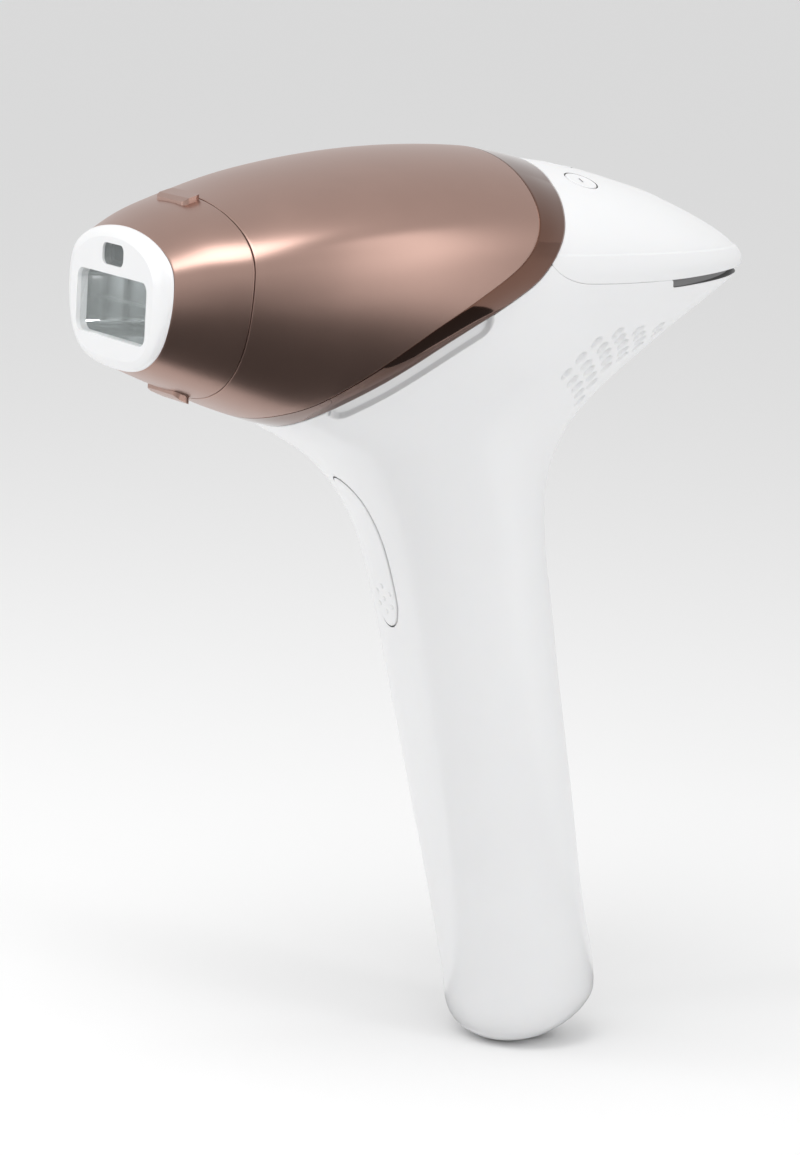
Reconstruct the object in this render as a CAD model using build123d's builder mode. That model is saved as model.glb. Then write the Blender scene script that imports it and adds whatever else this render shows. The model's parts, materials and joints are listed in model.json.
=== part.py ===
# Hand-held pulsed-light hair remover: copper barrel, white tail and raked handle.
# Units mm. Origin: centre of the treatment window on the front face plane.
# -Y out of the window, +Y to the rear, +Z up, X across, symmetric about X = 0.
import math
import os
from build123d import *

os.makedirs("parts", exist_ok=True)

# ---------------------------------------------------------------- driving sizes
WALL = 2.0            # outer shell wall
COVER_T = 1.9         # copper barrel cover thickness
FIT = 0.15            # gap between nested skins
SEAM_Y = 16.2         # plane where the attachment meets the barrel
FACE_Y = 2.4          # depth of the white face's bevelled edge
WIN_W, WIN_H = 31.4, 12.9      # treatment window
SEN_W, SEN_H, SEN_Z = 9.5, 4.4, 10.5   # skin sensor window, height above centre
RAKE = 13.8           # handle rake, degrees
SMALL_R, LARGE_R = 3.6, 4.5    # key radii
KEY_GAP = 0.2         # radial gap round a key
KEY_TRAVEL = 0.5
TRIG_W = 4.25         # trigger half width
TRIG_GAP = 0.25
SOCKET_R = 4.0        # charging plug bore
SOCKET_L = 5.0

# barrel section tables: station y, top z, bottom z, half width
BY = [2.4, 9, 16.5, 27, 40, 55, 72, 90, 108]
BT = [16.3, 20.0, 22.9, 26.7, 30.1, 32.6, 33.8, 33.1, 30.1]
BB = [-12.9, -15.6, -18.5, -22.3, -24.8, -26.2, -26.8, -27.0, -26.1]
AY = [2.4, 9, 16.5, 28, 40, 72, 108]
AW = [22.7, 27.0, 30.9, 34.0, 35.4, 35.9, 31.1]

# body section tables: height z against rear y, front y, half width
RZ = [-163.8, -163.0, -161.0, -157.7, -155.5, -152, -130, -105, -80, -62, -50, -40, -32, -24, -16, -8,
      0, 4, 6, 7.4, 9, 10.8, 13, 15.4, 18, 20.6, 23.8, 26.6, 28.7, 30.4, 31.2]
RY = [106.3, 111.3, 116.4, 121.8, 124.2, 126.2, 121.1, 116.1, 110.7, 107.1, 104.6, 103.8, 105.2, 109.7, 117.8, 128.1,
      139.4, 145.2, 148.0, 149.8, 151.6, 152.4, 151.2, 148.6, 143.6, 138.0, 130.0, 122.0, 114.0, 105.8, 98.5]
FZ = [-163.8, -163.0, -161.5, -159, -156, -152, -130, -105, -80, -62, -50, -40, -32, -24, -16, -8, 0, 6, 10, 20, 31.2]
FY = [102.2, 98.6, 96.2, 94.4, 93.4, 92.7, 87.3, 80.4, 73.5, 68.5, 64.3, 58.1, 49.6, 34.4, 25.4, 20.5, 18, 17, 17, 20, 42]
WZ = [-163.8, -163.0, -161.5, -159, -156, -152, -130, -105, -80, -62, -50, -40, -32, -24, -16, -8, 0, 6, 10, 15, 20, 25, 28, 30, 31.2]
WW = [3.5, 7.6, 11.0, 13.8, 15.4, 16.3, 17.0, 17.8, 18.7, 19.4, 20.3, 21.6, 23.0, 25.0, 27.3, 29.5, 31.0, 32.0, 32.4, 32.0, 30.0, 25.5, 20.0, 13.0, 6.0]

# side-view rims (y, z), top to bottom: front and rear edge of the polished band
RIM1 = [(82.4, 48), (82.4, 40), (82.3, 33.8), (81.7, 29), (81.1, 25), (80.0, 20.5), (78.0, 16), (75.2, 12.6), (71.6, 9.7),
        (68, 7.3), (61.9, 3.2), (56, -0.7), (50.4, -4.9), (43.6, -10.3), (38.8, -14.2), (35.6, -16.9), (32.6, -19.0),
        (29.6, -20.6), (27.2, -22.3), (25.6, -24.8), (24.6, -29), (24.2, -34)]
RIM2 = [(95.6, 48), (95.5, 40), (95.0, 31), (93.6, 28.4), (92.3, 26), (91.0, 23), (89.6, 19.6), (87.6, 16), (84.9, 12.2),
        (81.5, 8.4), (77.2, 5.2), (73.3, 2.6), (67.2, -1.1), (61.3, -4.8), (54.6, -9.4), (48.8, -13.4), (44.4, -16.4),
        (41.0, -19.0), (38.4, -21.2), (36.4, -23.6), (35.2, -27), (34.8, -34)]


def pchip(xs, ys, x):
    # monotone cubic through a table
    n = len(xs)
    if x <= xs[0]:
        return ys[0]
    if x >= xs[-1]:
        return ys[-1]
    h = [xs[i + 1] - xs[i] for i in range(n - 1)]
    d = [(ys[i + 1] - ys[i]) / h[i] for i in range(n - 1)]
    m = [d[0]] + [0.0] * (n - 2) + [d[-1]]
    for i in range(1, n - 1):
        if d[i - 1] * d[i] > 0:
            w1, w2 = 2 * h[i] + h[i - 1], h[i] + 2 * h[i - 1]
            m[i] = (w1 + w2) / (w1 / d[i - 1] + w2 / d[i])
    k = max(i for i in range(n - 1) if xs[i] <= x)
    t = (x - xs[k]) / h[k]
    return ((2 * t**3 - 3 * t**2 + 1) * ys[k] + (t**3 - 2 * t**2 + t) * h[k] * m[k]
            + (-2 * t**3 + 3 * t**2) * ys[k + 1] + (t**3 - t**2) * h[k] * m[k + 1])


def slope(xs, ys, x):
    return (pchip(xs, ys, x + 0.4) - pchip(xs, ys, x - 0.4)) / 0.8


def sp(v, e):
    return math.copysign(abs(v) ** e, v)


N = 20


def barrel_pts(y, inset=0.0):
    t, b, a = pchip(BY, BT, y) - inset, pchip(BY, BB, y) + inset, pchip(AY, AW, y) - inset
    zc = b + (t - b) * 0.69
    out = []
    for i in range(N):
        u = 2 * math.pi * i / N
        c, s = math.cos(u), math.sin(u)
        n = 1.97 if s >= 0 else 2.5
        out.append((a * sp(c, 2 / n), zc + (t - zc if s >= 0 else zc - b) * sp(s, 2 / n)))
    return out


def body_dims(z, t=0.0):
    r, f, w = pchip(RZ, RY, z), pchip(FZ, FY, z), pchip(WZ, WW, z)
    if t:
        r -= t * math.hypot(1, min(6, abs(slope(RZ, RY, z))))
        f += t * math.hypot(1, min(3, abs(slope(FZ, FY, z))))
        w -= t * math.hypot(1, min(3, abs(slope(WZ, WW, z))))
    return r, f, w, 0.42 + 0.08 * max(0.0, min(1.0, -z / 50))


def body_pts(z, t=0.0):
    r, f, w, ph = body_dims(z, t)
    yc = f + ph * (r - f)
    out = []
    for i in range(N):
        u = 2 * math.pi * i / N
        c, s = math.cos(u), math.sin(u)
        n = 2.0 if s >= 0 else 2.2
        out.append((w * sp(c, 2 / n), yc + (r - yc if s >= 0 else yc - f) * sp(s, 2 / n)))
    return out


def barrel_x(y, z, inset=0.0):
    t, b, a = pchip(BY, BT, y) - inset, pchip(BY, BB, y) + inset, pchip(AY, AW, y) - inset
    zc = b + (t - b) * 0.69
    v, n = ((z - zc) / (t - zc), 1.97) if z > zc else ((zc - z) / (zc - b), 2.5)
    return a * max(0.0, 1 - abs(v) ** n) ** (1 / n)


def body_x(y, z):
    if z > 31.2:
        return 0.0
    r, f, w, ph = body_dims(z)
    yc = f + ph * (r - f)
    v, n = ((y - yc) / (r - yc), 2.0) if y > yc else ((yc - y) / (yc - f), 2.2)
    return w * max(0.0, 1 - abs(v) ** n) ** (1 / n)


def body_top(x, y):
    # height of the tail's upper surface over (x, y)
    lo, hi = 8.0, 31.15
    for _ in range(40):
        mid = (lo + hi) / 2
        if body_x(y, mid) > abs(x):
            lo = mid
        else:
            hi = mid
    return lo


def top_normal(x, y):
    e = 1.0
    gx = (body_top(x + e, y) - body_top(x - e, y)) / (2 * e)
    gy = (body_top(x, y + e) - body_top(x, y - e)) / (2 * e)
    return Vector(-gx, -gy, 1).normalized()


def loft_y(stations, inset=0.0):
    with BuildPart() as p:
        for y in stations:
            with BuildSketch(Plane.XZ.offset(-y)):
                with BuildLine():
                    Spline(*barrel_pts(y, inset), periodic=True)
                make_face()
        loft()
    return p.part


def loft_z(stations, t=0.0):
    with BuildPart() as p:
        for z in stations:
            with BuildSketch(Plane.XY.offset(z)):
                with BuildLine():
                    Spline(*body_pts(z, t), periodic=True)
                make_face()
        loft()
    return p.part


def side_prism(rim, far_y, half=60):
    # region between a side-view rim and a far vertical line, extruded across X
    with BuildPart() as p:
        with BuildSketch(Plane.YZ):
            with BuildLine():
                Polyline(*rim, (far_y, rim[-1][1]), (far_y, rim[0][1]), rim[0])
            make_face()
        extrude(amount=half, both=True)
    return p.part


def box(cx, cy, cz, lx, ly, lz):
    with BuildPart() as p:
        with Locations((cx, cy, cz)):
            Box(lx, ly, lz)
    return p.part


def cyl(origin, direction, r, h):
    # cylinder from origin along direction
    with BuildPart() as p:
        with BuildSketch(Plane(origin=origin, z_dir=direction)):
            Circle(r)
        extrude(amount=h)
    return p.part


def one(shape):
    # largest solid of a boolean result, as a Part
    s = sorted(shape.solids(), key=lambda q: q.volume)[-1]
    return Part() + s


# ---------------------------------------------------------------- master skins
Y_ST = [16.2, 26, 38, 52, 68, 84]
Z_ST = [-148, -142, -134, -124, -113, -102, -91, -80, -70, -60, -51, -42, -34, -26, -18, -10, -3, 3]
# planar split line between barrel and body, stepped down the band, top to bottom
CUT = [(82.4, 48), (82.3, 32), (80.6, 22.5), (77.4, 15), (71.6, 9.7), (61.9, 3.2), (43.6, -10.3), (35.6, -16.9),
       (29.6, -20.6), (26.4, -23.2), (24.4, -34)]
MID = [(y + 5.0, z) for y, z in CUT]
# upper edge of the body shells / lower edge of the control cover
LID = [(84.9, 12.2), (87, 10.7), (89.3, 9.4), (91.9, 8.4), (95.5, 8.05), (104, 8.0), (112.8, 8.15), (120.7, 8.35),
       (129.3, 8.8), (137.3, 9.3), (145, 9.8), (170, 11.2)]

barrel_outer = loft_y([2.4, 9] + Y_ST + [100])
barrel_inner = loft_y([8] + Y_ST + [96], COVER_T)
nose_outer = loft_y([10] + Y_ST + [96], COVER_T + FIT)
nose_inner = loft_y([8] + Y_ST + [100], COVER_T + FIT + WALL)
body_outer = loft_z([-163.8, -163.2, -162, -160, -157, -153] + Z_ST + [7, 10, 12.5, 15.5, 19, 22.5, 25.5, 28, 30, 31.2])
body_inner = loft_z([-160.2, -158.5, -156, -152.5] + Z_ST + [8, 12.5, 17, 21, 24.5, 27, 28.6], WALL)

behind_cut = side_prism(CUT, 200)
behind_mid = side_prism(MID, 200)
ahead_mid = side_prism(MID, -60)
front_seam = box(0, SEAM_Y - 100, 0, 200, 200, 400)
front_nose = box(0, 17.4 - 100, 0, 200, 200, 400)


def rim_loop(rim, xfun, zc=8.0, n=13):
    # points of a rim on a surface at equal angles from top to bottom, x >= 0
    pts = []
    for k in range(len(rim) - 1):
        for j in range(60):
            s = j / 60
            y = rim[k][0] + (rim[k + 1][0] - rim[k][0]) * s
            z = rim[k][1] + (rim[k + 1][1] - rim[k][1]) * s
            x = xfun(y, z)
            if x > 0:
                pts.append((math.atan2(z - zc, x), x, y, z))
    out = []
    for i in range(n):
        a = math.pi / 2 - math.pi * i / (n - 1)
        if i in (0, n - 1):
            q = pts[0] if i == 0 else pts[-1]
            out.append((0.0, q[2], q[3]))
            continue
        q = min(pts, key=lambda p: abs(p[0] - a))
        out.append((q[1], q[2], q[3]))
    return out


def radial_in(p, d, zc=8.0):
    r = math.hypot(p[0], p[2] - zc)
    k = (r - d) / r
    return (p[0] * k, p[1], zc + (p[2] - zc) * k)


# ---------------------------------------------------------------- polished band
with BuildPart() as trim_ring:
    quads = []
    for p1, p2 in zip(rim_loop(RIM1, barrel_x), rim_loop(RIM2, body_x)):
        q1, q2 = radial_in(p1, COVER_T + 0.1), radial_in(p2, 1.3)
        quads.append(Wire.make_polygon([Vector(*p1), Vector(*p2), Vector(*q2), Vector(*q1)], close=True))
    add(Solid.make_loft(quads, ruled=False))
    mirror(about=Plane.YZ)
trim_ring.part.label = "trim_ring"
export_step(trim_ring.part, "parts/trim_ring.step")

# ---------------------------------------------------------------- barrel cover
with BuildPart() as barrel_cover:
    add(one(barrel_outer - barrel_inner - front_seam - behind_cut - trim_ring.part))
barrel_cover.part.label = "barrel_cover"
export_step(barrel_cover.part, "parts/barrel_cover.step")

# ---------------------------------------------------------------- inner frame with its lamp bulkhead
BULK_Y0, BULK_Y1 = 22.0, 24.0
with BuildPart() as inner_frame:
    add(one(nose_outer - nose_inner - front_nose - behind_mid - trim_ring.part))
    with BuildSketch(Plane.XZ.offset(-BULK_Y0)):
        with BuildLine():
            Spline(*barrel_pts(BULK_Y0, COVER_T + FIT + 1.1), periodic=True)
        make_face()
    extrude(amount=-(BULK_Y1 - BULK_Y0))
    with Locations((0, (BULK_Y0 + BULK_Y1) / 2, 0)):
        Box(34.5, 6, 15.5, mode=Mode.SUBTRACT)
inner_frame.part.label = "inner_frame"
export_step(inner_frame.part, "parts/inner_frame.step")

# ---------------------------------------------------------------- trigger outline and key places
TRIG = [(0, -36.6), (2.3, -37.7), (3.8, -40.6), (TRIG_W, -45.5), (TRIG_W, -61.5), (3.7, -65.6), (2.3, -68.2), (0, -69.2)]
PIVOT_Y, PIVOT_Z = 66.2, -42.5


def trigger_prism(gap, y0, y1):
    with BuildPart() as p:
        with BuildSketch(Plane.XZ.offset(-y0)):
            with BuildLine():
                Polyline(*TRIG, *[(-x, z) for x, z in TRIG[-2:0:-1]], close=True)
            make_face()
            if gap:
                offset(amount=gap)
        extrude(amount=-(y1 - y0))
    return p.part


KEYS = [("power_button", 0.0, 127.5, LARGE_R), ("mode_button_left", -13.0, 103.0, SMALL_R),
        ("mode_button_centre", 0.0, 104.5, SMALL_R), ("mode_button_right", 13.0, 103.0, SMALL_R)]

# ---------------------------------------------------------------- body shells and control cover
AXIS = Vector(0, math.sin(math.radians(RAKE)), -math.cos(math.radians(RAKE)))   # down the handle
HANDLE_A = Vector(0, 91.9, -80)                                                 # point on the handle axis
MOUTH = HANDLE_A + AXIS * 84.4                                                  # charging socket mouth
BOSSES = [(111, -3), (89.5, -58), (107.0, -141.8)]                  # joint bosses, (y, z)

back_outer = one(body_outer - ahead_mid)
back_shell = back_outer - one(body_inner - side_prism([(y - 3.0, z) for y, z in MID], -60))
back_shell = one(one(back_shell) - trim_ring.part)

with BuildPart() as lid_zone:
    with BuildSketch(Plane.YZ):
        with BuildLine():
            Polyline((60, 12.2), *LID, (170, 60), (60, 60), close=True)
        make_face()
    extrude(amount=60, both=True)

with BuildPart() as slot_zone:
    with BuildSketch(Plane.YZ):
        with BuildLine():
            Polyline((119.6, 9.4), (120.7, 6.6), (129.3, 7.05), (137.3, 7.55), (145, 8.05), (170, 9.4), (170, 12.6),
                     close=True)
        make_face()
    extrude(amount=60, both=True)

keys = {}
cover_raw = one(back_shell & lid_zone.part)
for key, kx, ky, kr in KEYS:
    n = top_normal(kx, ky)
    k = Vector(kx, ky, body_top(kx, ky))
    with BuildPart() as key_part:
        with BuildSketch(Plane(origin=k - n * 3.0, z_dir=n)):
            Circle(kr)
        extrude(amount=5)
        add(back_outer, mode=Mode.INTERSECT)
    keys[key] = (one(key_part.part), k, n)

with BuildPart() as control_cover:
    add(cover_raw)
    for key, kx, ky, kr in KEYS:
        _, k, n = keys[key]
        with BuildSketch(Plane(origin=k - n * 8.0, z_dir=n)):
            Circle(kr + KEY_GAP)
        extrude(amount=14, mode=Mode.SUBTRACT)
control_cover.part.label = "control_cover"
export_step(control_cover.part, "parts/control_cover.step")

with BuildPart() as body_shell_right:
    add(one(back_shell - lid_zone.part - slot_zone.part - trigger_prism(TRIG_GAP, 45, 80) - box(-100, 0, 0, 200, 600, 600)
            - cyl(MOUTH - AXIS * 8, AXIS, 6.0, 16)))
    for by, bz in BOSSES:
        with BuildSketch(Plane.YZ):
            with Locations((by, bz)):
                Circle(2.6)
        extrude(amount=body_x(by, bz) - 1.2)
        with BuildSketch(Plane.YZ):
            with Locations((by, bz)):
                Circle(1.25)
        extrude(amount=7, mode=Mode.SUBTRACT)
body_shell_right.part.label = "body_shell_right"
export_step(body_shell_right.part, "parts/body_shell_right.step")

with BuildPart() as body_shell_left:
    add(mirror(body_shell_right.part, about=Plane.YZ))
body_shell_left.part.label = "body_shell_left"
export_step(body_shell_left.part, "parts/body_shell_left.step")

with BuildPart() as shell_pins:
    for by, bz in BOSSES:
        with BuildSketch(Plane.YZ.offset(-7)):
            with Locations((by, bz)):
                Circle(1.25)
        extrude(amount=14)
shell_pins.part.label = "shell_pins"
export_step(shell_pins.part, "parts/shell_pins.step")

# ---------------------------------------------------------------- rear vent strip
with BuildPart() as rear_vent_strip:
    with BuildSketch(Plane.XY.offset(6)):
        with BuildLine():
            Spline(*body_pts(7.4, 0.6), periodic=True)
        make_face()
        with BuildLine(mode=Mode.PRIVATE) as inner_line:
            Spline(*body_pts(7.4, 1.9), periodic=True)
        make_face(inner_line.edges(), mode=Mode.SUBTRACT)
    extrude(amount=6)
    add(slot_zone.part, mode=Mode.INTERSECT)
    add(lid_zone.part, mode=Mode.SUBTRACT)
rear_vent_strip.part.label = "rear_vent_strip"
export_step(rear_vent_strip.part, "parts/rear_vent_strip.step")

# ---------------------------------------------------------------- keys, control board and its switches
for key in keys:
    with BuildPart() as control_key:
        add(keys[key][0])
    control_key.part.label = key
    export_step(control_key.part, f"parts/{key}.step")

board_plane = Plane(origin=(0, 113, 19.9), x_dir=(1, 0, 0), z_dir=(0, 0.2, 0.98))
with BuildPart() as control_board:
    with BuildSketch(board_plane):
        with BuildLine():
            Polyline((-18, -20), (18, -20), (18, -4), (10.5, 20), (-10.5, 20), (-18, -4), close=True)
        make_face()
    extrude(amount=-1.6)
control_board.part.label = "control_board"
export_step(control_board.part, "parts/control_board.step")

with BuildPart() as key_switches:
    for key, kx, ky, kr in KEYS:
        _, k, n = keys[key]
        top = k - n * (3.0 + KEY_TRAVEL + 0.35)
        depth = (top - Vector(0, 113, 19.9)).dot(board_plane.z_dir) / n.dot(board_plane.z_dir)
        with BuildSketch(Plane(origin=top, z_dir=n)):
            Circle(1.7)
        extrude(amount=-(depth + 0.9))
    add(control_board.part, mode=Mode.SUBTRACT)
    with Locations((0, 105, 10)):
        Box(60, 60, 14, mode=Mode.SUBTRACT)
key_switches.part.label = "key_switches"
export_step(key_switches.part, "parts/key_switches.step")

# ---------------------------------------------------------------- trigger
with BuildPart() as trigger_button:
    add(one((back_outer & trigger_prism(0, 45, 80)) - back_outer.moved(Location((0, 2.4, 0)))))
    with BuildSketch(Plane.YZ.offset(-2.2)):
        with BuildLine():
            Polyline((59.6, -40.5), (69, -40.5), (69, -44.6), (62.6, -44.6), close=True)
        make_face()
    extrude(amount=4.4)
    with BuildSketch(Plane.YZ.offset(-2)):
        with BuildLine():
            Polyline((70.6, -62), (75.8, -62), (75.8, -66), (71.4, -66), close=True)
        make_face()
    extrude(amount=4)
    with BuildSketch(Plane.YZ.offset(-10)):
        with Locations((PIVOT_Y, PIVOT_Z)):
            Circle(1.05)
    extrude(amount=20, mode=Mode.SUBTRACT)
trigger_button.part.label = "trigger_button"
export_step(trigger_button.part, "parts/trigger_button.step")

with BuildPart() as trigger_pin:
    with BuildSketch(Plane.YZ.offset(-6.2)):
        with Locations((PIVOT_Y, PIVOT_Z)):
            Circle(1.0)
    extrude(amount=12.4)
trigger_pin.part.label = "trigger_pin"
export_step(trigger_pin.part, "parts/trigger_pin.step")

with BuildPart() as trigger_bracket:
    with BuildSketch(Plane.YZ.offset(-6.2)):
        with BuildLine():
            Polyline((71, -38), (73, -38), (86.5, -70), (84.5, -70), close=True)
        make_face()
    extrude(amount=12.4)
    for x0 in (-6.2, 4.0):
        with BuildSketch(Plane.YZ.offset(x0)):
            with BuildLine():
                Polyline((64.0, -40.5), (72.5, -39), (74.4, -45), (64.6, -45), close=True)
            make_face()
        extrude(amount=2.2)
    with Locations((0, 88.5, -71.5)):
        Box(32.8, 8, 3)
    with BuildSketch(Plane.YZ.offset(-10)):
        with Locations((PIVOT_Y, PIVOT_Z)):
            Circle(1.0)
    extrude(amount=20, mode=Mode.SUBTRACT)
trigger_bracket.part.label = "trigger_bracket"
export_step(trigger_bracket.part, "parts/trigger_bracket.step")

with BuildPart() as trigger_switch:
    with Locations((0, 80.2, -64)):
        Box(6, 5.2, 7)
    add(trigger_bracket.part, mode=Mode.SUBTRACT)
    with Locations((0, 95, -64)):
        Box(30, 20, 30, mode=Mode.SUBTRACT)
trigger_switch.part.label = "trigger_switch"
export_step(trigger_switch.part, "parts/trigger_switch.step")

# ---------------------------------------------------------------- handle contents
with BuildPart() as flash_capacitor:
    with BuildSketch(Plane(origin=HANDLE_A, z_dir=AXIS)):
        Circle(12.2)
    extrude(amount=56)
    fillet(flash_capacitor.edges(), 1.0)
flash_capacitor.part.label = "flash_capacitor"
export_step(flash_capacitor.part, "parts/flash_capacitor.step")

with BuildPart() as capacitor_clamp:
    for s in (8, 40):
        with BuildSketch(Plane(origin=HANDLE_A + AXIS * s, z_dir=AXIS)):
            Circle(13.6)
            Circle(12.2, mode=Mode.SUBTRACT)
        extrude(amount=7)
capacitor_clamp.part.label = "capacitor_clamps"
export_step(capacitor_clamp.part, "parts/capacitor_clamps.step")

with BuildPart() as charging_socket:
    with BuildSketch(Plane(origin=MOUTH, z_dir=AXIS)):
        Circle(5.95)
    extrude(amount=-15)
    with BuildSketch(Plane(origin=MOUTH, z_dir=AXIS)):
        Circle(SOCKET_R)
    extrude(amount=-SOCKET_L, mode=Mode.SUBTRACT)
charging_socket.part.label = "charging_socket"
export_step(charging_socket.part, "parts/charging_socket.step")

with BuildPart() as socket_contact:
    with BuildSketch(Plane(origin=MOUTH - AXIS * 15, z_dir=AXIS)):
        Circle(4.2)
        Circle(1.6, mode=Mode.SUBTRACT)
    extrude(amount=-2)
socket_contact.part.label = "socket_contact"
export_step(socket_contact.part, "parts/socket_contact.step")

# ---------------------------------------------------------------- chassis tray and main board
with BuildPart() as chassis_tray:
    with BuildSketch(Plane.XY.offset(-13)):
        with BuildLine():
            Polyline((-16.5, BULK_Y1), (16.5, BULK_Y1), (16.5, 98), (12, 108), (-12, 108), (-16.5, 98), close=True)
        make_face()
    extrude(amount=2)
chassis_tray.part.label = "chassis_tray"
export_step(chassis_tray.part, "parts/chassis_tray.step")

with BuildPart() as main_board:
    with Locations((0, 88, -10.2)):
        Box(32, 28, 1.6)
    with Locations((0, 88, -10.2)):
        with GridLocations(27, 23, 2, 2):
            Hole(1.1, 2)
main_board.part.label = "main_board"
export_step(main_board.part, "parts/main_board.step")

with BuildPart() as board_screws:
    with Locations((0, 88, -9.4)):
        with GridLocations(27, 23, 2, 2):
            Cylinder(2.0, 1.3, align=(Align.CENTER, Align.CENTER, Align.MIN))
    with Locations((0, 88, -11.0)):
        with GridLocations(27, 23, 2, 2):
            Cylinder(1.1, 2.2, align=(Align.CENTER, Align.CENTER, Align.MIN))
board_screws.part.label = "board_screws"
export_step(board_screws.part, "parts/board_screws.step")

with BuildPart() as transformer:
    with Locations((0, 84, -4.4)):
        Box(16, 13, 10)
    fillet(transformer.edges().filter_by(Axis.Z), 1.5)
transformer.part.label = "transformer"
export_step(transformer.part, "parts/transformer.step")

with BuildPart() as board_components:
    with Locations((-6, 96, -9.4), (2, 96, -9.4)):
        Cylinder(3.0, 9, align=(Align.CENTER, Align.CENTER, Align.MIN))
    with Locations((8.5, 96, -8.4)):
        Box(5, 7, 2)
    with Locations((-12, 86, -7.9)):
        Box(5, 9, 3)
board_components.part.label = "board_components"
export_step(board_components.part, "parts/board_components.step")

# ---------------------------------------------------------------- lamp module
with BuildPart() as filter_glass:
    with Locations((0, 25, 0)):
        Box(36.5, 2, 17.5)
filter_glass.part.label = "filter_glass"
export_step(filter_glass.part, "parts/filter_glass.step")

with BuildPart() as lamp_housing:
    with Locations((0, 37, 1)):
        Box(39, 22, 24)
        Box(36, 30, 21, mode=Mode.SUBTRACT)
    with BuildSketch(Plane.YZ.offset(-25)):
        with Locations((33, 0)):
            Circle(1.6)
    extrude(amount=50, mode=Mode.SUBTRACT)
lamp_housing.part.label = "lamp_housing"
export_step(lamp_housing.part, "parts/lamp_housing.step")

with BuildPart() as lamp_reflector:
    with BuildSketch(Plane.YZ.offset(-17.2)):
        with Locations((26.2, 0)):
            Ellipse(13.5, 8.6)
            Ellipse(12.8, 7.9, mode=Mode.SUBTRACT)
        with Locations((16.2, 0)):
            Rectangle(20, 30, mode=Mode.SUBTRACT)
    extrude(amount=34.4)
lamp_reflector.part.label = "lamp_reflector"
export_step(lamp_reflector.part, "parts/lamp_reflector.step")

with BuildPart() as flash_lamp:
    with BuildSketch(Plane.YZ.offset(-17)):
        with Locations((33, 0)):
            Circle(2.6)
    extrude(amount=34)
    fillet(flash_lamp.edges(), 0.8)
flash_lamp.part.label = "flash_lamp"
export_step(flash_lamp.part, "parts/flash_lamp.step")

with BuildPart() as lamp_electrodes:
    for x0 in (-21.5, 17.0):
        with BuildSketch(Plane.YZ.offset(x0)):
            with Locations((33, 0)):
                Circle(1.5)
        extrude(amount=4.5)
lamp_electrodes.part.label = "lamp_electrodes"
export_step(lamp_electrodes.part, "parts/lamp_electrodes.step")

with BuildPart() as heat_sink:
    with Locations((0, 49, 1)):
        Box(34, 2, 22)
    with Locations((0, 53.5, 1)):
        with GridLocations(4.1, 1, 9, 1):
            Box(1.2, 7, 22)
heat_sink.part.label = "heat_sink"
export_step(heat_sink.part, "parts/heat_sink.step")

# ---------------------------------------------------------------- cooling fan
FAN_Z = 7.8
with BuildPart() as fan_frame:
    with BuildSketch(Plane.XZ.offset(-60)):
        with Locations((0, FAN_Z)):
            Circle(18.3)
            Circle(17.2, mode=Mode.SUBTRACT)
    extrude(amount=-10)
    with BuildSketch(Plane.XZ.offset(-68)):
        with Locations((0, FAN_Z)):
            Circle(6.5)
            with GridLocations(1, 1, 1, 1):
                Rectangle(35.4, 2.4)
                Rectangle(2.4, 35.4)
            Circle(1.55, mode=Mode.SUBTRACT)
    extrude(amount=-2)
    with Locations((0, 65, -10.4)):
        Box(14, 10, 1.2)
    with BuildSketch(Plane.XZ.offset(-60)):
        with Locations((0, FAN_Z)):
            Circle(17.2)
    extrude(amount=-7.9, mode=Mode.SUBTRACT)
fan_frame.part.label = "fan_frame"
export_step(fan_frame.part, "parts/fan_frame.step")

with BuildPart() as fan_rotor:
    with BuildSketch(Plane.XZ.offset(-61)):
        with Locations((0, FAN_Z)):
            Circle(7.5)
    extrude(amount=-6.2)
    with BuildSketch(Plane.XZ.offset(-62)):
        with Locations((0, FAN_Z)):
            Circle(1.5)
    extrude(amount=-8)
    for i in range(7):
        a = 360 * i / 7
        with BuildSketch(Plane(origin=(0, 64, FAN_Z), x_dir=(0, 1, 0), z_dir=(math.cos(math.radians(a)), 0, math.sin(math.radians(a)))).offset(6.5)):
            Rectangle(4.6, 1.0, rotation=38)
        extrude(amount=9.8)
fan_rotor.part.label = "fan_rotor"
export_step(fan_rotor.part, "parts/fan_rotor.step")

# ---------------------------------------------------------------- skin sensor
with BuildPart() as skin_sensor:
    with Locations((0, 21, 11.2)):
        Box(9, 2, 5)
skin_sensor.part.label = "skin_sensor"
export_step(skin_sensor.part, "parts/skin_sensor.step")

# ---------------------------------------------------------------- treatment attachment
face_cut = box(0, 16.0 + 100, 0, 200, 200, 400)
with BuildPart() as attachment_shell:
    add(one(barrel_outer - loft_y([0, 9, 18], 1.8) - face_cut))
attachment_shell.part.label = "attachment_shell"
export_step(attachment_shell.part, "parts/attachment_shell.step")


def face_pts(t, b, a, nb):
    zc = b + (t - b) * 0.66
    out = []
    for i in range(N):
        u = 2 * math.pi * i / N
        c, s = math.cos(u), math.sin(u)
        n = 2.1 if s >= 0 else nb
        out.append((a * sp(c, 2 / n), zc + (t - zc if s >= 0 else zc - b) * sp(s, 2 / n)))
    return out


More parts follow.
